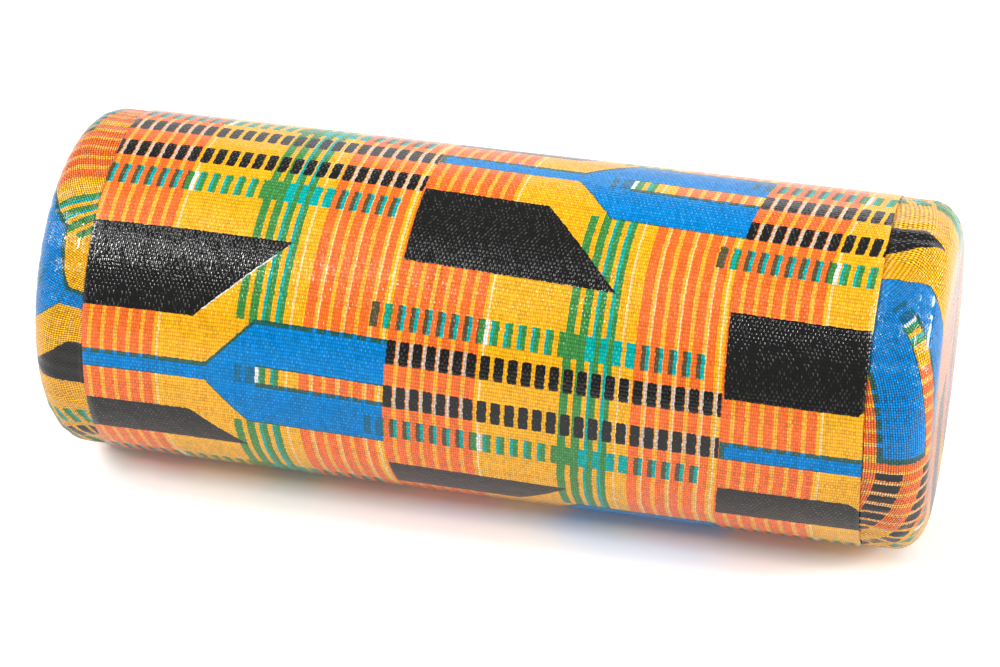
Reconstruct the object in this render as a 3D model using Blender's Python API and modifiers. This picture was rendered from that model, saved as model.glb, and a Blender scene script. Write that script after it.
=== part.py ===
"""Cylindrical percussion shaker, lying on its side along X.

A plastic tube is closed by two moulded end caps. Each cap carries a printed cloth
drawn over its rounded edge, and a printed cloth wrap round the tube covers the raw
edges of both. Loose pellets inside the tube make the sound.

The tube's axis runs along X. The floor is at Z = 0 and the middle of the tube is above the origin.
"""

import math

import bmesh
import bpy

MM = 0.001

# Driving dimensions
OVERALL_LENGTH = 178.0 * MM  # from one end face to the other
BODY_DIAMETER = 69.6 * MM  # over the cloth wrap
CLOTH = 0.4 * MM  # lacquered cotton
GLUE_LINE = 0.25 * MM  # between glued or touching pieces
TUBE_WALL = 2.6 * MM
END_CLOTH_SHOWN = 12.0 * MM  # end face to the wrap's edge, along the axis
END_CLOTH_TUCKED = 6.0 * MM  # of each end cloth, under the wrap
CORNER_RADIUS = 7.0 * MM  # round the edge of the end face, over the cloth
CAP_WALL = 3.0 * MM
SPIGOT_LENGTH = 14.0 * MM  # of each end cap, inside the tube
SPIGOT_WALL = 2.5 * MM
SPIGOT_LEAD = 1.0 * MM  # bevel that starts the spigot into the tube
WRAP_LAP = 12.0 * MM  # the wrap's end over its start
LAP_RAMP = 8.0 * MM  # along which the wrap climbs onto its own start
LAP_DIRECTION = math.radians(-33.0)  # of the lap's start, from +Y towards +Z
PELLET_DIAMETER = 6.0 * MM
PELLET_CLEARANCE = 0.3 * MM  # round a resting pellet
PELLET_LANES = 5  # side by side on the tube's floor
PELLETS_IN_LANE = 8
SIDES = 48  # flats round every turned piece
CORNER_STEPS = 6

# Sizes that follow, outermost layer first
HALF_LENGTH = OVERALL_LENGTH / 2
BODY_RADIUS = BODY_DIAMETER / 2
WRAP_INNER = BODY_RADIUS - CLOTH
WRAP_LENGTH = OVERALL_LENGTH - 2 * END_CLOTH_SHOWN
SKIRT_OUTER = WRAP_INNER - GLUE_LINE
SKIRT_INNER = SKIRT_OUTER - CLOTH
SKIRT_END = HALF_LENGTH - END_CLOTH_SHOWN - END_CLOTH_TUCKED
CAP_RADIUS = SKIRT_INNER - GLUE_LINE
CAP_FACE = HALF_LENGTH - CLOTH - GLUE_LINE
CAP_SHOULDER = SKIRT_END - GLUE_LINE
TUBE_OUTER = WRAP_INNER - GLUE_LINE
TUBE_INNER = TUBE_OUTER - TUBE_WALL
TUBE_HALF = CAP_SHOULDER - GLUE_LINE
SPIGOT_OUTER = TUBE_INNER - GLUE_LINE
SPIGOT_INNER = SPIGOT_OUTER - SPIGOT_WALL
SPIGOT_END = CAP_SHOULDER - SPIGOT_LENGTH
CAP_BORE = CAP_RADIUS - CAP_WALL
HALF_SIDE = math.pi / SIDES  # turns a flat, not an edge, towards the floor
AXIS_HEIGHT = BODY_RADIUS * math.cos(HALF_SIDE)

GOLDEN = (math.sqrt(5) - 1) / 2

# A piece built along its own Z axis points along +X or -X after these turns.
TOWARDS_RIGHT = (math.radians(90), 0, math.radians(90))
TOWARDS_LEFT = (math.radians(90), 0, math.radians(-90))


def clear_scene():
    for obj in list(bpy.data.objects):
        bpy.data.objects.remove(obj)


def new_collection(name):
    collection = bpy.data.collections.new(name)
    bpy.context.scene.collection.children.link(collection)
    return collection


def new_material(name, colour, roughness, metallic=0.0):
    material = bpy.data.materials.new(name)
    material.use_nodes = True
    shader = material.node_tree.nodes["Principled BSDF"]
    shader.inputs["Base Color"].default_value = (*colour, 1.0)
    shader.inputs["Roughness"].default_value = roughness
    shader.inputs["Metallic"].default_value = metallic
    return material


def add_piece(name, data, material, carrier, collection, rotation=(0, 0, 0), location=(0, 0, 0)):
    """Adds one named piece, placed in the frame of the empty that carries it."""
    if not data.materials:
        data.materials.append(material)
    obj = bpy.data.objects.new(name, data)
    collection.objects.link(obj)
    obj.parent = carrier
    obj.rotation_euler = rotation
    obj.location = location
    return obj


def corner_arc(length, radius, bend):
    """Points round the outer edge of an end, as (radius, length) pairs, from the face to the side."""
    points = []
    for step in range(CORNER_STEPS + 1):
        turn = math.radians(90) * step / CORNER_STEPS
        points.append((radius - bend + bend * math.sin(turn), length - bend + bend * math.cos(turn)))
    return points


def turned_mesh(name, profile, closed):
    """A profile of (radius, length) pairs as a wire, drawn half a side off the local X axis."""
    mesh = bpy.data.meshes.new(name)
    wire = bmesh.new()
    cosine, sine = math.cos(HALF_SIDE), math.sin(HALF_SIDE)
    points = [wire.verts.new((radius * cosine, radius * sine, length)) for radius, length in profile]
    for first, second in zip(points, points[1:]):
        wire.edges.new((first, second))
    if closed:
        wire.edges.new((points[-1], points[0]))
    wire.to_mesh(mesh)
    wire.free()
    return mesh


def turn(obj):
    """Revolves a profile about the piece's own Z axis."""
    screw = obj.modifiers.new("turn", "SCREW")
    screw.axis = "Z"
    screw.steps = screw.render_steps = SIDES
    screw.use_merge_vertices = True
    screw.merge_threshold = 0.01 * MM
    screw.use_smooth_shade = True


def add_tube(carrier, collection):
    profile = [
        (TUBE_OUTER, TUBE_HALF),
        (TUBE_OUTER, -TUBE_HALF),
        (TUBE_INNER, -TUBE_HALF),
        (TUBE_INNER, TUBE_HALF),
    ]
    plastic = new_material("grey_tube_plastic", (0.55, 0.56, 0.57), 0.45)
    mesh = turned_mesh("tube_shell", profile, closed=True)
    turn(add_piece("tube_shell", mesh, plastic, carrier, collection, TOWARDS_RIGHT))


def end_cap_profile():
    """A cup with a rounded rim: its head closes the tube and its spigot fits inside."""
    bend = CORNER_RADIUS - CLOTH - GLUE_LINE
    floor_of_cup = CAP_FACE - CAP_WALL
    return [
        (0, CAP_FACE),
        *corner_arc(CAP_FACE, CAP_RADIUS, bend),
        (CAP_RADIUS, CAP_SHOULDER),
        (SPIGOT_OUTER, CAP_SHOULDER),
        (SPIGOT_OUTER, SPIGOT_END + SPIGOT_LEAD),
        (SPIGOT_OUTER - SPIGOT_LEAD, SPIGOT_END),
        (SPIGOT_INNER, SPIGOT_END),
        (SPIGOT_INNER, CAP_SHOULDER),
        *reversed(corner_arc(floor_of_cup, min(CAP_BORE, SPIGOT_INNER), bend / 2)),
        (0, floor_of_cup),
    ]


def end_cloth_profile():
    """Cloth over the cap's face, round its edge and along its side, one cloth thick."""
    return [
        (0, HALF_LENGTH),
        *corner_arc(HALF_LENGTH, SKIRT_OUTER, CORNER_RADIUS),
        (SKIRT_OUTER, SKIRT_END),
        (SKIRT_INNER, SKIRT_END),
        *reversed(corner_arc(HALF_LENGTH - CLOTH, SKIRT_INNER, CORNER_RADIUS - CLOTH)),
        (0, HALF_LENGTH - CLOTH),
    ]


def add_ends(carrier, collection):
    plastic = new_material("black_cap_plastic", (0.05, 0.05, 0.055), 0.5)
    cloth = new_material("printed_end_cloth", (0.85, 0.42, 0.08), 0.45)
    for side, rotation in (("left", TOWARDS_LEFT), ("right", TOWARDS_RIGHT)):
        for name, profile, material in (
            (side + "_end_cap", end_cap_profile(), plastic),
            (side + "_end_cloth", end_cloth_profile(), cloth),
        ):
            mesh = turned_mesh(name, profile, closed=False)
            turn(add_piece(name, mesh, material, carrier, collection, rotation))


def wrap_angles():
    """Angles along the wrap from its start to its lapped end, at the edges between the tube's flats."""
    side = 2 * HALF_SIDE
    lowest_edge = -math.pi / 2 + HALF_SIDE
    start = lowest_edge + side * round((LAP_DIRECTION - lowest_edge) / side)
    end = start + 2 * math.pi + WRAP_LAP / BODY_RADIUS
    angles = []
    angle = start
    while angle < end - 0.1 * side:
        angles.append(angle)
        angle += side
    return [*angles, end]


def wrap_outline():
    """The wrap's edge seen along the axis: out along its outer face and back along its inner face."""
    angles = wrap_angles()
    lap_start = angles[0] + 2 * math.pi - 2 * HALF_SIDE
    ramp = LAP_RAMP / BODY_RADIUS
    outer, inner = [], []
    for angle in angles:
        climb = min(1.0, max(0.0, (angle - lap_start + ramp) / ramp))
        radius = WRAP_INNER + climb * (CLOTH + GLUE_LINE)
        inner.append((radius * math.cos(angle), radius * math.sin(angle)))
        outer.append(((radius + CLOTH) * math.cos(angle), (radius + CLOTH) * math.sin(angle)))
    return outer + inner[::-1]


def add_wrap(carrier, collection):
    outline = wrap_outline()
    curve = bpy.data.curves.new("cloth_wrap", "CURVE")
    curve.dimensions = "2D"
    curve.fill_mode = "BOTH"
    curve.extrude = WRAP_LENGTH / 2
    spline = curve.splines.new("POLY")
    spline.points.add(len(outline) - 1)
    for point, (across, up) in zip(spline.points, outline):
        point.co = (across, up, 0, 1)
    spline.use_cyclic_u = True
    cloth = new_material("printed_wrap_cloth", (0.90, 0.45, 0.07), 0.45)
    add_piece("cloth_wrap", curve, cloth, carrier, collection, TOWARDS_RIGHT)


def pellet_places():
    """Centres of the pellets lying on the tube's floor, from the middle of the tube.

    Each lane along the floor is cut into equal cells with one pellet in each, so that no two touch.
    """
    orbit = TUBE_INNER * math.cos(HALF_SIDE) - PELLET_DIAMETER / 2 - PELLET_CLEARANCE
    room = PELLET_DIAMETER + PELLET_CLEARANCE
    lane_turn = 2 * math.asin(room / 2 / orbit)
    floor_length = 2 * (SPIGOT_END - PELLET_CLEARANCE)
    cell = floor_length / PELLETS_IN_LANE
    places = []
    for lane in range(PELLET_LANES):
        turn_off_lowest = (lane - (PELLET_LANES - 1) / 2) * lane_turn
        for place in range(PELLETS_IN_LANE):
            scatter = (len(places) * GOLDEN) % 1.0 - 0.5
            along = (place + 0.5) * cell - floor_length / 2 + scatter * (cell - room)
            across = orbit * math.sin(turn_off_lowest)
            up = -orbit * math.cos(turn_off_lowest)
            places.append((along, across, up))
    return places


def add_pellets(carrier, collection):
    mesh = bpy.data.meshes.new("pellet")
    ball = bmesh.new()
    bmesh.ops.create_icosphere(ball, subdivisions=2, radius=PELLET_DIAMETER / 2)
    ball.to_mesh(mesh)
    ball.free()
    mesh.shade_smooth()
    plastic = new_material("white_pellet_plastic", (0.80, 0.78, 0.72), 0.3)
    for number, place in enumerate(pellet_places(), start=1):
        add_piece(f"pellet_{number:02d}", mesh, plastic, carrier, collection, location=place)


def main():
    clear_scene()
    collection = new_collection("percussion_shaker")
    carrier = bpy.data.objects.new("tube_axis", None)
    collection.objects.link(carrier)
    carrier.location = (0, 0, AXIS_HEIGHT)
    add_tube(carrier, collection)
    add_ends(carrier, collection)
    add_wrap(carrier, collection)
    add_pellets(carrier, collection)


main()
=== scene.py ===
"""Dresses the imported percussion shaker: printed, lacquered cloth over plastic, in a plain studio."""

import logging
import math
from dataclasses import dataclass, field, replace
from enum import Enum
from typing import Mapping, Sequence, Union

import bmesh
import bpy
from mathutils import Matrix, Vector


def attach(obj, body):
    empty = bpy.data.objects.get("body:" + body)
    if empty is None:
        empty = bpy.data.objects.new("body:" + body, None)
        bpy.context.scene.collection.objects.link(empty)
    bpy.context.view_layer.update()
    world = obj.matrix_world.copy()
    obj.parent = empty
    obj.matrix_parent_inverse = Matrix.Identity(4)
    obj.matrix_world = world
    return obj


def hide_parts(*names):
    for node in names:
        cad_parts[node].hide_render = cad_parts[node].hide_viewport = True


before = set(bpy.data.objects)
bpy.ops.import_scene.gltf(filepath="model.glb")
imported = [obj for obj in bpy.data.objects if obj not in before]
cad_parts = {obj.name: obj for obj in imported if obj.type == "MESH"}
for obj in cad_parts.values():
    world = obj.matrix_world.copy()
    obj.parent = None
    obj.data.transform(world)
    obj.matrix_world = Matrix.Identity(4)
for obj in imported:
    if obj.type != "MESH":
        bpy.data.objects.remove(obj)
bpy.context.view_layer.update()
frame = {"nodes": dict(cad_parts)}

MM = 0.001
BODY = "shaker_body"
PRINT_MAP = "print_mm"
LOG = logging.getLogger("shaker")

Number = Union[int, float]
Colour = tuple[float, float, float, float]
Stripe = tuple[float, float]
Socket = bpy.types.NodeSocket


def linear(red: Number, green: Number, blue: Number) -> Colour:
    """Turns an sRGB colour in bytes into the linear colour that a shader takes.

    Args:
        red: red byte.
        green: green byte.
        blue: blue byte.

    Returns:
        The linear colour with full alpha.
    """
    parts = []
    for byte in (red, green, blue):
        share = byte / 255
        parts.append(share / 12.92 if share <= 0.04045 else ((share + 0.055) / 1.055) ** 2.4)
    return (parts[0], parts[1], parts[2], 1.0)


def smooth_step(low: float, high: float, value: float) -> float:
    """Eases from 0 at low to 1 at high."""
    share = min(1.0, max(0.0, (value - low) / (high - low)))
    return share * share * (3 - 2 * share)


class Ink(Enum):
    """The print's inks and the colours that they make over each other, in sRGB bytes."""

    GOLD = (252, 178, 8)
    ORANGE = (252, 110, 34)
    AMBER = (254, 175, 44)
    CHALK = (240, 234, 224)
    PALE = (249, 210, 142)
    CREAM = (250, 204, 134)
    ASH = (212, 190, 178)
    LEAF = (60, 138, 64)
    CYAN = (0, 172, 164)
    BLUE = (0, 132, 207)
    TEAL = (0, 106, 146)
    PINE = (28, 92, 82)
    OLIVE = (86, 78, 52)
    BLACK = (21, 20, 19)

    @property
    def colour(self) -> Colour:
        """The ink as a linear colour."""
        return linear(*self.value)


class Value:
    """A number in a shader: wraps a socket, and each operator adds a Math node."""

    def __init__(self, graph: "ShaderGraph", socket: Socket) -> None:
        """Keeps the socket and the graph that new nodes go into."""
        self.graph = graph
        self.socket = socket

    def math(self, operation: str, *operands: "Value | Number") -> "Value":
        """Adds one Math node.

        Args:
            operation: the node's operation.
            operands: its inputs in order.

        Returns:
            The node's result.
        """
        sockets = dict(enumerate(operands))
        made = self.graph.node("ShaderNodeMath", {"operation": operation}, sockets)
        return Value(self.graph, made.outputs[0])

    def __add__(self, other: "Value | Number") -> "Value":
        """Sum."""
        return self.math("ADD", self, other)

    __radd__ = __add__

    def __sub__(self, other: "Value | Number") -> "Value":
        """Difference."""
        return self.math("SUBTRACT", self, other)

    def __rsub__(self, other: "Value | Number") -> "Value":
        """Difference, with this value taken from a number."""
        return self.math("SUBTRACT", other, self)

    def __mul__(self, other: "Value | Number") -> "Value":
        """Product."""
        return self.math("MULTIPLY", self, other)

    __rmul__ = __mul__

    def __truediv__(self, other: "Value | Number") -> "Value":
        """Quotient."""
        return self.math("DIVIDE", self, other)

    def __rtruediv__(self, other: "Value | Number") -> "Value":
        """Quotient, with a number divided by this value."""
        return self.math("DIVIDE", other, self)

    def __abs__(self) -> "Value":
        """Size without sign."""
        return self.math("ABSOLUTE", self)

    def floor(self) -> "Value":
        """The whole number below."""
        return self.math("FLOOR", self)

    def sine(self) -> "Value":
        """Sine of this value in radians."""
        return self.math("SINE", self)

    def power(self, exponent: Number) -> "Value":
        """This value raised to a number."""
        return self.math("POWER", self, exponent)

    def wrap(self, period: Number) -> "Value":
        """This value repeated from 0 to period."""
        return self.math("WRAP", self, period, 0.0)

    def pingpong(self, period: Number) -> "Value":
        """This value run up to period and back down again."""
        return self.math("PINGPONG", self, period)

    def above(self, limit: "Value | Number") -> "Value":
        """1 above the limit and 0 below."""
        return self.math("GREATER_THAN", self, limit)

    def below(self, limit: "Value | Number") -> "Value":
        """1 below the limit and 0 above."""
        return self.math("LESS_THAN", self, limit)

    def near(self, centre: "Value | Number", reach: "Value | Number") -> "Value":
        """1 within reach of centre and 0 elsewhere."""
        return self.math("COMPARE", self, centre, reach)

    def on(self, stripes: Sequence[Stripe]) -> "Value":
        """Mask of several stripes.

        Args:
            stripes: the middle and half the width of each.

        Returns:
            1 on every stripe and 0 elsewhere.
        """
        mask = self.near(*stripes[0])
        for stripe in stripes[1:]:
            mask = mask + self.near(*stripe)
        return mask

    def at_most(self, limit: "Value | Number") -> "Value":
        """The smaller of the two."""
        return self.math("MINIMUM", self, limit)

    def at_least(self, limit: "Value | Number") -> "Value":
        """The larger of the two."""
        return self.math("MAXIMUM", self, limit)

    def eased(self, low: Number, high: Number) -> "Value":
        """Eases this value between two limits.

        Args:
            low: limit that gives 0.
            high: limit that gives 1.

        Returns:
            The eased value, from 0 to 1.
        """
        sockets = {"Value": self, "From Min": low, "From Max": high}
        made = self.graph.node("ShaderNodeMapRange", {"interpolation_type": "SMOOTHSTEP"}, sockets)
        return Value(self.graph, made.outputs[0])


Input = Union[Value, Socket, Number, Sequence[float]]


class ShaderGraph:
    """The nodes of one material, or of the world."""

    def __init__(self, owner: bpy.types.Material | bpy.types.World) -> None:
        """Starts its owner off without nodes."""
        self.owner = owner
        self.owner.use_nodes = True
        self.tree = self.owner.node_tree
        self.tree.nodes.clear()

    def node(
        self,
        kind: str,
        settings: Mapping[str, object] | None = None,
        sockets: Mapping[int | str, Input] | None = None,
    ) -> bpy.types.Node:
        """Adds a node.

        Args:
            kind: the node's type.
            settings: its properties, which are set first.
            sockets: a value or a link for each named or numbered input.

        Returns:
            The node.
        """
        made = self.tree.nodes.new(kind)
        for key, value in (settings or {}).items():
            setattr(made, key, value)
        for key, value in (sockets or {}).items():
            if isinstance(value, Value):
                value = value.socket
            if isinstance(value, Socket):
                self.tree.links.new(value, made.inputs[key])
            else:
                made.inputs[key].default_value = value
        return made

    def mix(self, share: Value | Number, first: Socket | Colour, second: Socket | Colour) -> Socket:
        """Mixes two colours.

        Args:
            share: how much of the second colour, from 0 to 1.
            first: colour at 0.
            second: colour at 1.

        Returns:
            The mixed colour.
        """
        sockets = {0: share, 6: first, 7: second}
        return self.node("ShaderNodeMix", {"data_type": "RGBA"}, sockets).outputs[2]

    def noise(
        self, place: Socket, scale: float, detail: float = 2.0, roughness: float = 0.5
    ) -> bpy.types.Node:
        """Adds a noise over a place.

        Args:
            place: vector that the noise is read at.
            scale: lumps per unit of the vector.
            detail: octaves of finer lumps.
            roughness: strength of the finer lumps.

        Returns:
            The noise node.
        """
        sockets = {"Vector": place, "Scale": scale, "Detail": detail, "Roughness": roughness}
        return self.node("ShaderNodeTexNoise", {"noise_dimensions": "3D"}, sockets)

    def lumps(self, place: Socket, scale: float, detail: float = 2.0, roughness: float = 0.5) -> Value:
        """A noise's value, from 0 to 1."""
        return Value(self, self.noise(place, scale, detail, roughness).outputs[0])

    def scatter(self, number: Value) -> Value:
        """A random number from 0 to 1 for each whole number."""
        made = self.node("ShaderNodeTexWhiteNoise", {"noise_dimensions": "1D"}, {"W": number})
        return Value(self, made.outputs[0])

    def split(self, vector: Socket) -> tuple[Value, Value, Value]:
        """The three parts of a vector as values."""
        x, y, z = self.node("ShaderNodeSeparateXYZ", None, {0: vector}).outputs
        return (Value(self, x), Value(self, y), Value(self, z))

    def bump(self, height: Value, distance: float, strength: float) -> Socket:
        """A normal that follows a height."""
        sockets = {"Strength": strength, "Distance": distance, "Height": height}
        return self.node("ShaderNodeBump", None, sockets).outputs[0]

    def blend(self, share: Value | Socket, first: Socket, second: Socket) -> Socket:
        """A share of the second shader mixed into the first."""
        return self.node("ShaderNodeMixShader", None, {0: share, 1: first, 2: second}).outputs[0]

    def surface(self, shader: Socket) -> bpy.types.Material | bpy.types.World:
        """Links a shader to the output.

        Args:
            shader: the finished shader.

        Returns:
            The material or world that now shows it.
        """
        in_world = isinstance(self.owner, bpy.types.World)
        output = "ShaderNodeOutputWorld" if in_world else "ShaderNodeOutputMaterial"
        self.node(output, None, {"Surface": shader})
        return self.owner


class Canvas:
    """A colour that is painted over, mask by mask."""

    def __init__(self, graph: ShaderGraph, ground: Ink) -> None:
        """Starts from one ink all over."""
        self.graph = graph
        self.colour: Socket | Colour = ground.colour

    def lay(self, mask: Value | Number, ink: Ink) -> None:
        """Paints one ink over the colour where the mask is 1."""
        self.colour = self.graph.mix(mask, self.colour, ink.colour)


@dataclass(frozen=True)
class KentePrint:
    """A traditional striped strip-cloth print. Sizes and places are millimetres on the cloth.

    Columns of warp stripes repeat along the tube. Rows repeat round it, each mirrored and moved on by one
    column, so that a column of dashes and a column with a paddle take turns both ways. A row's level is 0
    between its dash rows. A stripe is given by its middle and half its width.
    """

    column: float = 65.0
    row: float = 46.4
    first_column: float = -16.2
    row_level: float = 6.6
    paddle_level: float = -4.25
    overlap: float = 0.6
    misprint: float = 0.95
    pale_lines: float = 1.0
    stripe_reach: float = 99.0
    dash_start: float = 0.0
    end_band: float = 0.0
    left_orange: Stripe = (9.0, 9.0)
    right_orange: Stripe = (55.65, 7.65)
    left_amber: Stripe = (9.0, 7.6)
    left_start: float = 0.96
    left_pitch: float = 2.68
    right_amber: Stripe = (55.8, 6.4)
    right_start: float = 49.05
    right_pitch: float = 2.7
    amber_half: float = 0.42
    green: Stripe = (39.1, 4.8)
    green_start: float = 33.88
    green_pitch: float = 2.63
    chalk_lines: tuple[Stripe, ...] = ((19.0, 0.21), (45.5, 0.2), (64.2, 0.21))
    cyan_lines: tuple[Stripe, ...] = ((39.85, 0.3), (42.6, 0.34))
    dash_half: float = 2.42
    leaf_level: float = 11.85
    leaf_pitch: float = 2.66
    leaf_shift: float = 0.22
    leaf_lead: float = 4.0
    leaf_length: float = 66.0
    leaf_over_orange: tuple[Stripe, ...] = ((9.0, 8.7), (56.2, 7.6))
    leaf_pools: tuple[Stripe, ...] = ((39.4, 0.9), (42.0, 0.7), (44.6, 0.8), (47.1, 0.85))
    black_level: float = 4.62
    black_pitch: float = 2.68
    black_half: float = 0.94
    black_over_orange: tuple[Stripe, ...] = ((9.0, 8.7), (56.2, 7.9))
    black_gaps: tuple[Stripe, ...] = ((41.7, 0.25), (39.1, 0.22), (44.5, 0.25), (47.3, 0.25))
    tall_foot: float = 6.3
    tall_length: float = 25.6
    tall_slope: float = 1.024
    short_foot: float = -14.5
    short_length: float = 25.3
    short_slope: float = 1.19
    neck_half: float = 2.0
    neck_end: float = 28.9
    flare: float = 1.08
    plate_half: float = 11.55
    slot_start: float = 39.2
    slot_half: float = 1.76
    slot_shift: float = 0.2
    foot_misprint: float = 0.3
    plate_marks: tuple[Stripe, ...] = ((35.6, 0.65), (38.1, 0.95))
    plate_stamps: tuple[Stripe, ...] = ((61.9, 0.7), (64.3, 0.75))

    def paint(self, graph: ShaderGraph, along: Value, around: Value) -> Socket:
        """Paints the print.

        Args:
            graph: the material's nodes.
            along: place along the tube.
            around: place round the tube.

        Returns:
            The print's colour.
        """
        u = along - self.first_column
        rise = around - (self.row_level - self.row / 2)
        row = (rise / self.row).floor()
        level = rise.pingpong(self.row) - self.row / 2
        facing = 1 - 2 * row.wrap(2)
        place = (u + row * self.column).wrap(2 * self.column)
        across = u.wrap(self.column)
        canvas = Canvas(graph, Ink.GOLD)
        lines = self.ground(canvas, across, level)
        self.leaf_dashes(canvas, across, place, level - (self.leaf_shift - self.leaf_shift * facing))
        self.black_dashes(canvas, across, place, level)
        self.trapezoids(canvas, place, level, facing)
        self.paddle(canvas, place - self.column, level - self.paddle_level, facing, lines)
        return canvas.colour

    def ground(self, canvas: Canvas, across: Value, level: Value) -> Value:
        """Paints the stripes that run round the tube.

        Args:
            canvas: what is painted on.
            across: place in the column.
            level: height in the row.

        Returns:
            Mask of the thin pale lines between the stripes.
        """
        canvas.lay(across.on((self.left_orange, self.right_orange)), Ink.ORANGE)
        left = (across - self.left_start).wrap(self.left_pitch).near(self.left_pitch / 2, self.amber_half)
        left = left * across.near(*self.left_amber)
        canvas.lay(left, Ink.AMBER)
        from_right = across - self.right_start
        right = from_right.wrap(self.right_pitch).near(self.right_pitch / 2, self.amber_half)
        right = right * across.near(*self.right_amber)
        canvas.lay(right, Ink.AMBER)
        cream = from_right.wrap(2 * self.right_pitch).near(1.7, 0.15) * across.near(55.8, 6.5)
        canvas.lay(cream * self.pale_lines, Ink.CREAM)
        chalk = across.on(self.chalk_lines)
        canvas.lay(chalk * self.pale_lines, Ink.PALE)
        green = (across - self.green_start).wrap(self.green_pitch).near(1.32, 0.82)
        green = green * across.near(*self.green)
        shown = abs(level).below(self.stripe_reach)
        canvas.lay(green * shown, Ink.LEAF)
        canvas.lay(across.on(self.cyan_lines) * shown, Ink.CYAN)
        return (left + right + chalk).at_most(1)

    def leaf_dashes(self, canvas: Canvas, across: Value, place: Value, level: Value) -> None:
        """Paints the two rows of green dashes outside the black ones.

        Args:
            canvas: what is painted on.
            across: place in the column.
            place: place in the pair of columns.
            level: height in the row.
        """
        run = (place + self.leaf_lead).wrap(2 * self.column)
        band = abs(level).near(self.leaf_level, self.dash_half) * run.below(self.leaf_length)
        beat = run.wrap(self.leaf_pitch)
        dash = band * beat.near(0.8, 0.8)
        merged = band * across.near(39.3, 6.1)
        canvas.lay((dash + merged).at_most(1), Ink.LEAF)
        orange = across.on(self.leaf_over_orange)
        canvas.lay(dash * orange, Ink.OLIVE)
        canvas.lay(dash * orange * beat.near(1.25, 0.36) * run.above(2.0), Ink.CYAN)
        canvas.lay(dash * beat.near(0.3, 0.32) * across.near(26.5, 6.6), Ink.CYAN)
        canvas.lay(band * across.on(self.leaf_pools), Ink.CYAN)
        canvas.lay(band * across.near(45.85, 0.3), Ink.GOLD)
        canvas.lay(band * across.near(19.2, 0.42), Ink.CHALK)
        canvas.lay(dash * across.near(64.2, 0.4), Ink.CYAN)

    def black_dashes(self, canvas: Canvas, across: Value, place: Value, level: Value) -> None:
        """Paints the two rows of black dashes.

        Args:
            canvas: what is painted on.
            across: place in the column.
            place: place in the pair of columns.
            level: height in the row.
        """
        height = (abs(level - 0.3) - self.black_level) / self.dash_half
        band = abs(height).below(1) * place.below(self.column) * place.above(self.dash_start)
        orange = across.on(self.black_over_orange)
        gap = (place + 1.74).wrap(self.black_pitch).near(self.black_pitch / 2, 0.27) * orange
        pale = gap + across.on(self.black_gaps)
        canvas.lay(band * pale.at_most(1) * self.pale_lines, Ink.ASH)
        width = ((place + 0.5).wrap(self.black_pitch) - self.black_pitch / 2) / self.black_half
        canvas.lay(band * (abs(width).power(6) + abs(height).power(10)).below(1), Ink.BLACK)

    def trapezoids(self, canvas: Canvas, place: Value, level: Value, facing: Value) -> None:
        """Paints the tall and the short black trapezoid of a paddle's column.

        Args:
            canvas: what is painted on.
            place: place in the pair of columns.
            level: height in the row.
            facing: 1 where the row is upright and -1 where it is mirrored.
        """
        here = place - self.column
        inside = here.above(0.4)
        tall_edge = self.tall_length + (level - self.tall_foot) * self.tall_slope
        canvas.lay(level.near(14.0, 6.2) * here.near(tall_edge, 0.32) * facing.above(0), Ink.CHALK)
        canvas.lay(inside * level.above(self.tall_foot) * here.below(tall_edge), Ink.BLACK)
        short_edge = self.short_length + (self.short_foot - level) * self.short_slope
        canvas.lay(inside * level.below(self.short_foot) * here.below(short_edge), Ink.BLACK)
        canvas.lay(level.below(self.overlap - self.row / 2) * place.near(18.2, 17.8), Ink.BLACK)

    def paddle_mask(self, here: Value, off: Value, facing: Value) -> Value:
        """Mask of the paddle's blue plate.

        Args:
            here: place in the paddle's column.
            off: height from the paddle's middle line.
            facing: 1 where the row is upright and -1 where it is mirrored.

        Returns:
            The mask.
        """
        reach = self.neck_half + (here - self.neck_end).at_least(0) * self.flare
        plate = abs(off + 0.5).below(reach) * abs(off).below(self.plate_half) * here.above(0.1)
        slot = (off - facing * self.slot_shift).near(0.0, self.slot_half) * here.above(self.slot_start)
        return plate * (1 - slot)

    def paddle(self, canvas: Canvas, here: Value, off: Value, facing: Value, lines: Value) -> None:
        """Paints the blue paddle with its slot and the overprint along its upper edges.

        Args:
            canvas: what is painted on.
            here: place in the paddle's column.
            off: height from the paddle's middle line.
            facing: 1 where the row is upright and -1 where it is mirrored.
            lines: mask of the ground's thin lines.
        """
        canvas.lay(here.near(35.2, 1.2) * abs(off).below(11.3), Ink.GOLD)
        plate = self.paddle_mask(here, off, facing)
        canvas.lay(plate, Ink.BLUE)
        marks = here.on(self.plate_marks) * abs(off).below(self.neck_half)
        stamps = here.on(self.plate_stamps) * off.near(-self.leaf_level - self.paddle_level, self.dash_half)
        canvas.lay(plate * (marks + stamps).at_most(1), Ink.TEAL)
        trap = plate - plate * self.paddle_mask(here, off + facing * self.misprint, facing)
        canvas.lay(trap * (1 - lines), Ink.PINE)
        foot = plate - plate * self.paddle_mask(here, off - facing * self.foot_misprint, facing)
        canvas.lay(foot * (1 - lines) * (1 - here.near(23.8, 5.0)), Ink.PINE)
        canvas.lay(plate * here.below(1.1), Ink.PINE)
        canvas.lay(plate * here.above(self.column - self.end_band), Ink.PINE)
        canvas.lay(here.near(39.5, 0.35) * off.near(facing * self.slot_shift, 1.7), Ink.CHALK)


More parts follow.
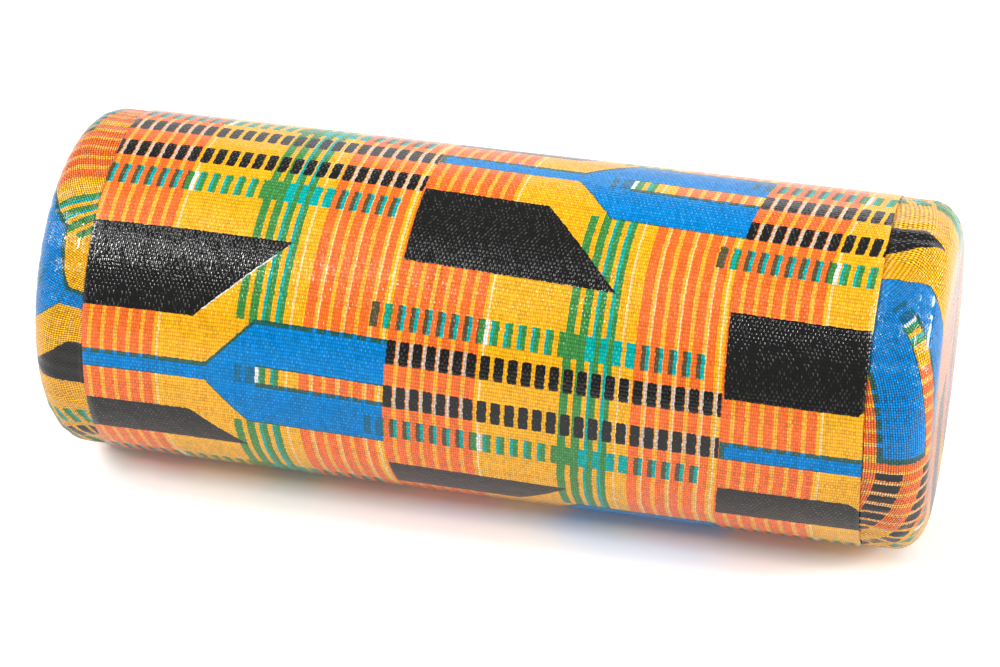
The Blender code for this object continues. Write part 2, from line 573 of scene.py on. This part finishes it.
@dataclass(frozen=True)
class LacquerRun:
    """A thin ridge of pooled lacquer along the rim of an end.

    Places along the tube are millimetres, turns are degrees above the front, and rise is a multiple of the
    cloth's relief.
    """

    along: float
    start: float
    stop: float
    rise: float = 1.5
    half_width: float = 0.5
    taper: float = 3.0

    def depth(self, along: Value, turn: Value) -> Value:
        """The depth of the pooled lacquer.

        Args:
            along: millimetres from the middle of the tube.
            turn: degrees above the front.

        Returns:
            From 0 outside the ridge to 1 along its crest.
        """
        across = 1 - (abs(along - self.along) / self.half_width).eased(0.0, 1.0)
        begun = turn.eased(self.start, self.start + self.taper)
        ended = turn.eased(self.stop - self.taper, self.stop)
        return across * begun * (1 - ended)


@dataclass(frozen=True)
class Weave:
    """The threads of a cloth as shader values, with a random tone from -0.5 to 0.5 for each."""

    warp: Value
    weft: Value
    crown: Value
    warp_tone: Value
    weft_tone: Value
    cell_tone: Value


@dataclass(frozen=True)
class LacqueredCloth:
    """Printed plain-weave cotton under clear lacquer.

    Pitches and drifts are millimetres, lumps are noise scales per millimetre, relief is metres, and the
    swells are multiples of it.
    """

    pattern: KentePrint
    runs: tuple[LacquerRun, ...] = ()
    # Share of painted glint: pale dots mixed into the colour on the thread crowns.
    painted_crown_glint: float = 0.06
    soaked_gloss: float = 0.18
    warp_pitch: float = 0.426
    weft_pitch: float = 0.76
    open_weave: float = 0.0
    contrast: float = 1.0
    mean_light: float = 0.53
    ragged: float = 0.16
    drift: float = 0.22
    relief: float = 0.00006
    swell: float = 2.4
    pooled_swell: float = 0.6
    roughness: float = 0.06
    wander_lumps: float = 0.16
    swell_lumps: float = 0.45
    bleed_lumps: float = 1.7
    slub_lumps: float = 2.6
    backing: Colour = linear(34, 28, 24)

    def material(self, name: str) -> bpy.types.Material:
        """Makes the material.

        Args:
            name: the material's name.

        Returns:
            The material, which reads the piece's own print map.
        """
        graph = ShaderGraph(bpy.data.materials.new(name))
        chart = graph.node("ShaderNodeUVMap", {"uv_map": PRINT_MAP}).outputs[0]
        wander = graph.lumps(chart, self.wander_lumps) - 0.5
        weave = self.weave(graph, chart, wander)
        ink = self.ink(graph, chart, weave)
        slub = graph.lumps(chart, self.slub_lumps, 3.0, 0.65) - 0.5
        colour = self.shaded(graph, ink, weave, slub)
        red, _, blue = graph.node("ShaderNodeSeparateColor", None, {0: ink}).outputs
        dye = (Value(graph, blue) - Value(graph, red)).eased(0.1, 0.5)
        swell = graph.lumps(chart, self.swell_lumps)
        knuckles = weave.crown.at_least(weave.crown * -0.3) * (1 + weave.cell_tone * 0.9)
        height = knuckles + swell * self.swell
        if self.runs:
            along, turn = self.rim_place(graph, wander)
            pooled = swell * self.pooled_swell
            for run in self.runs:
                depth = run.depth(along, turn)
                bare = 1 - depth.eased(0.0, 0.2)
                height = pooled + (height - pooled) * bare + depth * run.rise
                dye = dye * bare
        bump = graph.bump(height, self.relief, 1.0)
        inputs = {"Base Color": colour, "Roughness": self.roughness + slub * 0.08, "Normal": bump}
        glossy = graph.node("ShaderNodeBsdfPrincipled", None, inputs).outputs[0]
        inputs["Specular IOR Level"] = self.soaked_gloss
        soaked = graph.node("ShaderNodeBsdfPrincipled", None, inputs).outputs[0]
        return graph.surface(graph.blend(dye, glossy, soaked))

    def weave(self, graph: ShaderGraph, chart: Socket, wander: Value) -> Weave:
        """Lays out the threads.

        Args:
            graph: the material's nodes.
            chart: place on the print.
            wander: a slow noise that bends the threads.

        Returns:
            The threads' values.
        """
        along, around, _ = graph.split(chart)
        warp_place = (along + wander * 0.5) / self.warp_pitch
        weft_place = (around + wander * 0.7) / self.weft_pitch
        warp_wave = (warp_place * math.pi).sine()
        weft_wave = (weft_place * math.pi).sine()
        warp_thread = warp_place.floor()
        weft_thread = weft_place.floor()
        return Weave(
            warp=abs(warp_wave),
            weft=abs(weft_wave),
            crown=warp_wave * weft_wave,
            warp_tone=graph.scatter(warp_thread) - 0.5,
            weft_tone=graph.scatter(weft_thread + 500) - 0.5,
            cell_tone=graph.scatter(warp_thread + weft_thread * 977) - 0.5,
        )

    def ink(self, graph: ShaderGraph, chart: Socket, weave: Weave) -> Socket:
        """Prints the cloth, with edges that are ragged from thread to thread.

        Args:
            graph: the material's nodes.
            chart: place on the print.
            weave: the threads.

        Returns:
            The print's colour.
        """
        along, around, _ = graph.split(chart)
        bleed_along, bleed_around, _ = graph.split(graph.noise(chart, self.bleed_lumps, 1.0).outputs[1])
        printed_along = along + (bleed_along - 0.5) * self.drift + weave.weft_tone * self.ragged
        printed_around = around + (bleed_around - 0.5) * self.drift + weave.warp_tone * self.ragged
        return self.pattern.paint(graph, printed_along, printed_around)

    def shaded(self, graph: ShaderGraph, ink: Socket, weave: Weave, slub: Value) -> Socket:
        """Shades the print by its threads, and paints pale glints on their crowns.

        Args:
            graph: the material's nodes.
            ink: the print's colour.
            weave: the threads.
            slub: unevenness of the yarn, round 0.

        Returns:
            The cloth's colour.
        """
        thread = 0.4 * weave.warp + 0.44 * weave.weft + 0.14 * weave.crown
        tones = (weave.warp_tone + weave.weft_tone) * 0.11 + weave.cell_tone * 0.34
        shade = 1.0 + (thread - self.mean_light + slub * 0.5 + tones) * self.contrast
        scaled = graph.node("ShaderNodeVectorMath", {"operation": "SCALE"}, {0: ink, "Scale": shade})
        colour = scaled.outputs[0]
        if self.open_weave > 0:
            gap = (1 - weave.weft.eased(0.3, 0.95)) * (1 - 0.6 * weave.warp.eased(0.3, 1.0))
            gap = gap * (0.85 + weave.cell_tone * 0.7)
            colour = graph.mix(gap * self.open_weave, colour, self.backing)
        # Painted glints: pale dots mixed into the colour on the thread crowns, the same under any lamp.
        if self.painted_crown_glint > 0:
            painted_glint = weave.crown.eased(0.3, 1.0) * weave.cell_tone.eased(-0.1, 0.5)
            colour = graph.mix(painted_glint * self.painted_crown_glint, colour, Ink.CHALK.colour)
        return colour

    @staticmethod
    def rim_place(graph: ShaderGraph, wander: Value) -> tuple[Value, Value]:
        """Where a point lies along the rim of an end.

        Args:
            graph: the material's nodes.
            wander: a slow noise that bends lines along the rim a little.

        Returns:
            Millimetres from the middle of the tube and degrees above the front.
        """
        x, y, z = graph.split(graph.node("ShaderNodeTexCoord").outputs["Object"])
        up = z - TubeSizes.axis_height
        turn = up.math("ARCTAN2", up, 0 - y) * math.degrees(1)
        return (abs(x) / MM + wander * 1.2, turn)


@dataclass(frozen=True)
class MouldedPlastic:
    """Moulded plastic with a fine grain and faint flow marks."""

    colour: Colour
    roughness: float
    grain: float = 900.0
    relief: float = 0.00002

    def material(self, name: str) -> bpy.types.Material:
        """Makes the material.

        Args:
            name: the material's name.

        Returns:
            The material, which reads Object coordinates.
        """
        graph = ShaderGraph(bpy.data.materials.new(name))
        place = graph.node("ShaderNodeTexCoord").outputs["Object"]
        flow = graph.lumps(place, 45.0, 3.0)
        grain = graph.lumps(place, self.grain)
        dark = tuple(part * 0.82 for part in self.colour[:3]) + (1.0,)
        inputs = {
            "Base Color": graph.mix(flow, self.colour, dark),
            "Roughness": self.roughness + (flow - 0.5) * 0.2 + (grain - 0.5) * 0.1,
            "Normal": graph.bump(grain, self.relief, 0.6),
        }
        return graph.surface(graph.node("ShaderNodeBsdfPrincipled", None, inputs).outputs[0])


def add_piece(name: str, shape: bmesh.types.BMesh, material: bpy.types.Material) -> bpy.types.Object:
    """Makes a smooth piece at the origin from a bmesh, which it frees.

    Args:
        name: the piece's name.
        shape: its mesh.
        material: its finish.

    Returns:
        The new object.
    """
    mesh = bpy.data.meshes.new(name)
    shape.to_mesh(mesh)
    shape.free()
    mesh.materials.append(material)
    mesh.shade_smooth()
    piece = bpy.data.objects.new(name, mesh)
    bpy.context.scene.collection.objects.link(piece)
    return piece


def thicken(piece: bpy.types.Object, thickness: float) -> None:
    """Gives a sheet its thickness, inwards from its outer face.

    Args:
        piece: the sheet.
        thickness: metres of cloth.
    """
    wall = piece.modifiers.new("thickness", "SOLIDIFY")
    wall.thickness = thickness
    wall.offset = -1.0


@dataclass(frozen=True)
class TubeSizes:
    """Sizes of the shaker that its cloths share, in metres."""

    half_length: float = 89.0 * MM
    radius: float = 34.8 * MM
    cloth: float = 0.4 * MM
    glue: float = 0.25 * MM
    axis_height: float = 34.8 * MM * math.cos(math.pi / 48)
    wrap_half: float = 77.0 * MM
    skirt_end: float = 71.0 * MM


@dataclass
class ClothWrap:
    """The printed cloth rolled once round the tube, its end lapped over its start at the back."""

    sizes: TubeSizes
    lap: float = 12.0 * MM
    ramp: float = 8.0 * MM
    ramp_gap: float = 3.0 * MM
    lap_start: float = math.radians(-33.75)
    steps_along: int = 110
    steps_round: int = 260
    skew: float = 0.031
    trim: float = 0.6 * MM
    name: str = "printed_wrap"

    def build(self) -> bmesh.types.BMesh:
        """Rolls a flat grid into the wrap and lays the print on it.

        Returns:
            The rolled sheet, its print map filled in.
        """
        shape = bmesh.new()
        bmesh.ops.create_grid(shape, x_segments=self.steps_along, y_segments=self.steps_round, size=1.0)
        chart = shape.loops.layers.uv.new(PRINT_MAP)
        flat = {vert: (vert.co.x, vert.co.y) for vert in shape.verts}
        for vert, (along, round_share) in flat.items():
            vert.co = self.rolled(along, (round_share + 1) / 2)
        for face in shape.faces:
            for loop in face.loops:
                along, round_share = flat[loop.vert]
                loop[chart].uv = self.printed(along, (round_share + 1) / 2)
        inwards = [face for face in shape.faces if self.faces_inwards(face)]
        bmesh.ops.reverse_faces(shape, faces=inwards)
        return shape

    def turn(self, share: float) -> float:
        """The angle from +Y at a share of the cloth's length."""
        return self.lap_start + share * (2 * math.pi + self.lap / self.sizes.radius)

    def rolled(self, along: float, share: float) -> Vector:
        """The place of a point of the flat cloth after rolling.

        Args:
            along: from -1 to 1 along the tube.
            share: from 0 to 1 along the cloth's length.

        Returns:
            The point in the frame.
        """
        angle = self.turn(share)
        climb_end = self.lap_start + 2 * math.pi - self.ramp_gap / self.sizes.radius
        climb_start = climb_end - self.ramp / self.sizes.radius
        climb = smooth_step(climb_start, climb_end, angle) * (self.sizes.cloth + self.sizes.glue)
        radius = self.sizes.radius + climb
        up = self.sizes.axis_height + radius * math.sin(angle)
        slant = smooth_step(0.0, 0.5, math.pi - angle) * smooth_step(0.0, 1.0, along)
        return Vector((along * self.sizes.wrap_half - self.trim * slant, radius * math.cos(angle), up))

    def printed(self, along: float, share: float) -> tuple[float, float]:
        """Where a point of the cloth lies on the print, which was stretched a little askew.

        Args:
            along: from -1 to 1 along the tube.
            share: from 0 to 1 along the cloth's length.

        Returns:
            The print's millimetres along and round the tube.
        """
        x = self.rolled(along, share).x / MM
        theta = math.pi - self.turn(share)
        arc = theta * self.sizes.radius / MM
        across = x - self.skew * arc
        up = arc + self.skew * x
        wander = -0.0088 * across - 7e-5 * across**2 + 3e-6 * across**3
        wander -= 0.0006 * max(0.0, across - 18) * max(-35.0, min(14.0, up - 20))
        pull = 0.019 * max(0.0, across) * math.sin(max(-math.pi, min(math.pi, (20 - up) / 12)))
        pull -= 0.012 * min(0.0, across) * (1 + 0.5 * math.sin((up - 20) / 12))
        pull += min(1.5, 0.0011 * max(0.0, up - 30) ** 2 + 0.003 * max(0.0, -8 - up) ** 2)
        return (across - pull, up - wander)

    def faces_inwards(self, face: bmesh.types.BMFace) -> bool:
        """Finds a face that looks at the tube's axis.

        Args:
            face: a face of the rolled sheet.

        Returns:
            True if it has to be turned round.
        """
        face.normal_update()
        middle = face.calc_center_median()
        outwards = Vector((0, middle.y, middle.z - self.sizes.axis_height))
        return face.normal.dot(outwards) < 0

    def dress(self, finish: LacqueredCloth) -> bpy.types.Object:
        """Makes the piece, with its finish and its place in the frame.

        Args:
            finish: the cloth's finish.

        Returns:
            The piece.
        """
        piece = add_piece(self.name, self.build(), finish.material("printed_wrap_cloth"))
        thicken(piece, self.sizes.cloth)
        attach(piece, BODY)
        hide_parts("cloth_wrap")
        length = 2 * math.pi * self.sizes.radius + self.lap
        return piece


class End(Enum):
    """The two ends of the shaker, with the direction along X that each looks in."""

    LEFT = -1
    RIGHT = 1


@dataclass
class EndCloth:
    """The printed cloth drawn over one rounded end and gathered, with a lacquer bead by the wrap's edge."""

    sizes: TubeSizes
    end: End
    corner_axial: float = 6.5 * MM
    corner_radial: float = 7.6 * MM
    proud: float = 0.2 * MM
    steps_round: int = 288
    pleat: float = 0.16 * MM
    bead: float = 0.18 * MM
    bead_place: float = 77.4 * MM
    bead_half: float = 0.5 * MM
    corner_steps: int = 14
    dome: float = 8.0 * MM
    cut_radius: float = 49.5 * MM
    pattern: KentePrint = KentePrint()

    @property
    def name(self) -> str:
        """The piece's name."""
        return f"printed_{self.end.name.lower()}_end"

    @property
    def radius(self) -> float:
        """Radius over the skirt."""
        return self.sizes.radius - self.sizes.cloth - self.sizes.glue + self.proud

    def profile(self) -> list[tuple[float, float]]:
        """The section from the middle of the face to the skirt's edge.

        Returns:
            Pairs of radius and distance from the middle of the tube.
        """
        flat = self.radius - self.corner_radial
        steps = self.corner_steps
        points = [(flat * step / steps, self.sizes.half_length) for step in range(1, steps)]
        for step in range(steps + 1):
            bend = math.radians(90) * step / steps
            reach = flat + self.corner_radial * math.sin(bend)
            points.append((reach, self.sizes.half_length - self.corner_axial * (1 - math.cos(bend))))
        for station in (81.6, 80.5, 79.4, 78.4, 77.9, 77.7, 77.5, 77.3, 77.1, 76.8, 75.4, 73.9, 72.4):
            rise = max(0.0, 1 - ((station * MM - self.bead_place) / self.bead_half) ** 2)
            points.append((self.radius + self.bead * rise, station * MM))
        points.append((self.radius, self.sizes.skirt_end))
        return points

    def build(self) -> bmesh.types.BMesh:
        """Spins the section into the cloth, gathers it and lays the print on it.

        Returns:
            The sheet, its print map filled in.
        """
        shape = bmesh.new()
        sign = self.end.value
        axis = Vector((0, 0, self.sizes.axis_height))
        section = [shape.verts.new(axis + Vector((sign * self.sizes.half_length, 0, 0)))]
        for reach, along in self.profile():
            section.append(shape.verts.new(axis + Vector((sign * along, -reach, 0))))
        edges = [shape.edges.new(pair) for pair in zip(section, section[1:])]
        bmesh.ops.spin(
            shape,
            geom=section + edges,
            cent=axis,
            axis=(1, 0, 0),
            angle=math.tau,
            steps=self.steps_round,
            use_merge=True,
        )
        bmesh.ops.remove_doubles(shape, verts=shape.verts, dist=0.001 * MM)
        bmesh.ops.recalc_face_normals(shape, faces=shape.faces)
        chart = shape.loops.layers.uv.new(PRINT_MAP)
        polar = {vert: self.polar(vert.co) for vert in shape.verts}
        for face in shape.faces:
            for loop in face.loops:
                loop[chart].uv = self.printed(*polar[loop.vert])
        for vert, (out, turn, _) in polar.items():
            self.gather(vert, out, turn)
        return shape

    def polar(self, place: Vector) -> tuple[float, float, float]:
        """A point of the end as the length of cloth from its middle, its turn and its radius.

        Args:
            place: the point in the frame.

        Returns:
            Millimetres of cloth, radians from -Y upwards and millimetres of radius.
        """
        up = place.z - self.sizes.axis_height
        reach = math.hypot(place.y, up)
        turn = math.atan2(up, -place.y)
        depth = self.sizes.half_length - abs(place.x)
        flat = self.radius - self.corner_radial
        mean = math.sqrt((self.corner_radial**2 + self.corner_axial**2) / 2)
        if depth < 1e-9:
            out = reach
        elif depth < self.corner_axial:
            out = flat + mean * math.acos(1 - depth / self.corner_axial)
        else:
            out = flat + mean * math.pi / 2 + depth - self.corner_axial
        return (out / MM, turn, reach / MM)

    def printed(self, out: float, turn: float, reach: float) -> tuple[float, float]:
        """Where a point of the cloth lies on the print.

        Args:
            out: millimetres of cloth from the middle of the face.
            turn: radians from -Y upwards.
            reach: millimetres from the axis.

        Returns:
            The print's millimetres along and round the tube.
        """
        shear = (1 - reach / out) / 4 if out > 1e-6 else 0.0
        bias = turn - shear * math.sin(4 * turn)
        front = out * math.cos(bias)
        up = out * math.sin(bias)
        lay = self.right_print if self.end is End.RIGHT else self.left_print
        column, off = lay(front, up)
        along = self.pattern.first_column + column - self.pattern.column
        return (along, self.pattern.row_level + self.pattern.paddle_level + off)

    @staticmethod
    def right_print(front: float, up: float) -> tuple[float, float]:
        """Where the right cloth, drawn tight over the upper front of its cap, lies on the print.

        Args:
            front: millimetres of cloth from the middle towards -Y.
            up: millimetres of cloth from the middle upwards.

        Returns:
            The place in the paddle's column and the height from the paddle's middle line.
        """
        paddle_front = 27.7
        slack = 8.0
        band_foot = -1.1
        plate_foot = 1.7
        plate_top = 36.0
        plate_end = 65.0
        bend = min(7.4, 0.0056 * max(0.0, up - 1) ** 2) - 0.12 * max(0.0, -up - 2)
        lift = front - paddle_front + bend
        if lift > 0:
            off = 0.89 * lift
        else:
            off = 1.5 * max(-slack, lift) + 0.75 * min(0.0, lift + slack)
        if up < band_foot:
            column = 68.52 - 0.915 * (up - band_foot)
        elif up < plate_foot:
            column = plate_end - 1.257 * (up - plate_foot)
        else:
            column = plate_end - 0.95 * (min(plate_top, up) - plate_foot) - 0.55 * max(0.0, up - plate_top)
        return (column, off)

    @staticmethod
    def left_print(front: float, up: float) -> tuple[float, float]:
        """Where the left cloth lies on the print.

        Args:
            front: millimetres of cloth from the middle towards -Y.
            up: millimetres of cloth from the middle upwards.

        Returns:
            The place in the paddle's column and the height from the paddle's middle line.
        """
        paddle_up = 16.0
        plate_front = 12.0
        off = up - paddle_up
        column = 50.4 - 0.9 * (front - plate_front)
        return (column, 0.92 * off if off > 0 else off)

    def gather(self, vert: bmesh.types.BMVert, out: float, turn: float) -> None:
        """Moves a point in or out for the small pleats round the edge.

        Args:
            vert: the point.
            out: millimetres of cloth from the middle of the face.
            turn: radians from -Y upwards.
        """
        fullness = smooth_step(24.0, 36.0, out) * (1 - smooth_step(42.0, 47.0, out))
        ripple = math.sin(37 * turn + 1.3 * math.sin(5 * turn)) * math.sin(2 * turn) ** 2
        ripple += 0.6 * math.sin(61 * turn + 2.1 * math.sin(3 * turn) + 0.2 * out)
        inset = math.copysign(self.sizes.half_length - self.dome, vert.co.x)
        outwards = vert.co - Vector((inset, 0, self.sizes.axis_height))
        outwards.normalize()
        vert.co += outwards * (self.pleat * fullness * ripple)

    def dress(self, finish: LacqueredCloth) -> bpy.types.Object:
        """Makes the piece, with its finish and its place in the frame.

        Args:
            finish: the cloth's finish.

        Returns:
            The piece.
        """
        side = self.end.name.lower()
        piece = add_piece(self.name, self.build(), finish.material(f"printed_{side}_end_cloth"))
        thicken(piece, self.sizes.cloth)
        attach(piece, BODY)
        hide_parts(f"{side}_end_cloth")
        width = 2 * self.cut_radius
        area = math.pi * width**2 / 4
        return piece


@dataclass
class PlasticCore:
    """The tube, its end caps and the pellets, which keep their CAD shapes."""

    finishes: dict[str, MouldedPlastic] = field(
        default_factory=lambda: {
            "tube_shell": MouldedPlastic(linear(196, 197, 199), 0.45),
            "end_cap": MouldedPlastic(linear(38, 37, 38), 0.5),
            "pellet": MouldedPlastic(linear(232, 229, 219), 0.3, 1500.0),
        }
    )

    def dress(self, nodes: Mapping[str, bpy.types.Object]) -> int:
        """Gives every plastic node its finish.

        Args:
            nodes: the CAD nodes by name.

        Returns:
            How many nodes were dressed.
        """
        dressed = 0
        for kind, finish in self.finishes.items():
            material = finish.material(f"moulded_{kind}")
            for name, node in nodes.items():
                if kind in name:
                    node.data.materials.clear()
                    node.data.materials.append(material)
                    dressed += 1
        return dressed


@dataclass(frozen=True)
class SoftBox:
    """A rectangular studio lamp that looks at the shaker."""

    name: str
    place: tuple[float, float, float]
    size: tuple[float, float]
    watts: float
    aim: tuple[float, float, float] = (0.0, 0.0, 0.035)

    def build(self) -> None:
        """Adds the lamp to the scene."""
        lamp = bpy.data.lights.new(self.name, "AREA")
        lamp.shape = "RECTANGLE"
        lamp.size, lamp.size_y = self.size
        lamp.energy = self.watts
        box = bpy.data.objects.new(self.name, lamp)
        box.location = self.place
        looks = Vector(self.aim) - Vector(self.place)
        box.rotation_euler = looks.to_track_quat("-Z", "Y").to_euler()
        bpy.context.scene.collection.objects.link(box)


@dataclass
class Studio:
    """A white floor, soft lamps, a dim white surround and the camera at the photograph's angle."""

    camera_place: tuple[float, float, float] = (0.1239, -0.5435, 0.3934)
    camera_looks: tuple[float, float, float] = (-0.1876, 0.8181, -0.5436)
    lens: float = 118.6
    sensor: float = 36.0
    floor_size: float = 2.6
    floor_level: float = -0.1 * MM
    floor_grey: float = 0.92
    floor_shown: float = 1.4
    surround: float = 0.29
    wall_distance: float = 1.1
    wall_height: float = 0.75
    boxes: tuple[SoftBox, ...] = (
        SoftBox("key_box", (-0.54, -0.55, 0.74), (0.08, 0.36), 4.3),
        SoftBox("left_top_box", (-0.75, -0.1, 0.86), (0.4, 0.5), 3.2),
        SoftBox("right_top_box", (0.63, -0.33, 0.9), (0.08, 0.5), 3.0),
        SoftBox("top_box", (0.34, 0.3, 1.05), (0.14, 0.14), 0.8),
        SoftBox("back_box", (0.2, 1.0, 0.5), (1.4, 0.5), 3.2),
        SoftBox("side_right_box", (1.07, 0.09, 0.41), (0.36, 0.36), 8.6),
        SoftBox("side_left_box", (-1.0, 0.12, 0.28), (0.14, 0.14), 1.0),
    )

    def build(self) -> None:
        """Builds the whole studio."""
        self.add_camera()
        self.add_floor()
        self.light_surround()
        for box in self.boxes:
            box.build()
        bpy.context.scene.view_settings.view_transform = "Standard"

    def add_camera(self) -> None:
        """Adds the camera and makes it the scene's own."""
        data = bpy.data.cameras.new("photo_camera")
        data.lens = self.lens
        data.sensor_width = self.sensor
        data.clip_start = 0.01
        camera = bpy.data.objects.new("photo_camera", data)
        camera.location = self.camera_place
        camera.rotation_euler = Vector(self.camera_looks).to_track_quat("-Z", "Y").to_euler()
        bpy.context.scene.collection.objects.link(camera)
        bpy.context.scene.camera = camera

    def add_floor(self) -> None:
        """Adds the floor, which the camera sees as white where nothing shades it."""
        graph = ShaderGraph(bpy.data.materials.new("white_floor"))
        seen = graph.node("ShaderNodeLightPath").outputs["Is Camera Ray"]
        paints = []
        for grey in (self.floor_grey, self.floor_shown):
            matt = graph.node("ShaderNodeBsdfDiffuse", None, {"Color": (grey, grey, grey, 1.0)})
            paints.append(matt.outputs[0])
        material = graph.surface(graph.blend(seen, *paints))
        shape = bmesh.new()
        half = self.floor_size / 2
        corner = shape.verts.new((-half, -half, self.floor_level))
        front = [corner, shape.verts.new((half, -half, self.floor_level))]
        edge = shape.edges.new(front)
        back = self.extrude(shape, edge, Vector((0, half + self.wall_distance, 0)))
        self.extrude(shape, back, Vector((0, 0, self.wall_height)))
        bmesh.ops.recalc_face_normals(shape, faces=shape.faces)
        add_piece("studio_floor", shape, material)

    @staticmethod
    def extrude(shape: bmesh.types.BMesh, edge: bmesh.types.BMEdge, move: Vector) -> bmesh.types.BMEdge:
        """Draws an edge out into a face.

        Args:
            shape: the mesh.
            edge: the edge that is drawn out.
            move: how far it goes.

        Returns:
            The face's far edge.
        """
        made = bmesh.ops.extrude_edge_only(shape, edges=[edge])["geom"]
        verts = [item for item in made if isinstance(item, bmesh.types.BMVert)]
        bmesh.ops.translate(shape, verts=verts, vec=move)
        edges = [item for item in made if isinstance(item, bmesh.types.BMEdge)]
        return next(item for item in edges if set(item.verts) == set(verts))

    def light_surround(self) -> None:
        """Lights the scene evenly from all round, and shows the camera white."""
        graph = ShaderGraph(bpy.data.worlds.new("studio_surround"))
        seen = graph.node("ShaderNodeLightPath").outputs["Is Camera Ray"]
        levels = {"Value": seen, "To Min": self.surround, "To Max": 1.0}
        strength = graph.node("ShaderNodeMapRange", None, levels).outputs[0]
        white = (1.0, 1.0, 1.0, 1.0)
        sky = graph.node("ShaderNodeBackground", None, {"Color": white, "Strength": strength})
        bpy.context.scene.world = graph.surface(sky.outputs[0])


def end_finishes(pattern: KentePrint) -> dict[End, LacqueredCloth]:
    """The finishes of the two end cloths, whose finer, more open weave is of a paler printing.

    Args:
        pattern: the wrap's print.

    Returns:
        A finish for each end.
    """
    faded = replace(pattern, pale_lines=0.4)
    left = LacqueredCloth(
        pattern=faded,
        runs=(LacquerRun(79.1, 35, 51, 0.7, 0.6),),
        # No painted crown glints on the end cloths.
        painted_crown_glint=0.0,
        soaked_gloss=0.4,
        warp_pitch=0.5,
        weft_pitch=0.46,
        open_weave=1.0,
        contrast=1.7,
        relief=0.000055,
    )
    cut = replace(faded, stripe_reach=8.0, dash_start=2.2, end_band=1.2)
    runs = (LacquerRun(84.3, 38, 62, 0.4), LacquerRun(86.7, 42, 66, 0.5), LacquerRun(81.6, 43, 51, 2.2))
    return {End.LEFT: left, End.RIGHT: replace(left, pattern=cut, runs=runs)}


def main() -> None:
    """Builds the studio and dresses the shaker, piece by piece."""
    logging.basicConfig(level=logging.INFO, format="%(name)s: %(message)s")
    Studio().build()
    sizes = TubeSizes()
    pattern = KentePrint()
    wrap = ClothWrap(sizes).dress(LacqueredCloth(pattern))
    LOG.info("%s: %d faces", wrap.name, len(wrap.data.polygons))
    for end, finish in end_finishes(pattern).items():
        cloth = EndCloth(sizes, end).dress(finish)
        LOG.info("%s: %d faces", cloth.name, len(cloth.data.polygons))
    LOG.info("plastic nodes dressed: %d", PlasticCore().dress(frame["nodes"]))


if __name__ == "__main__":
    main()
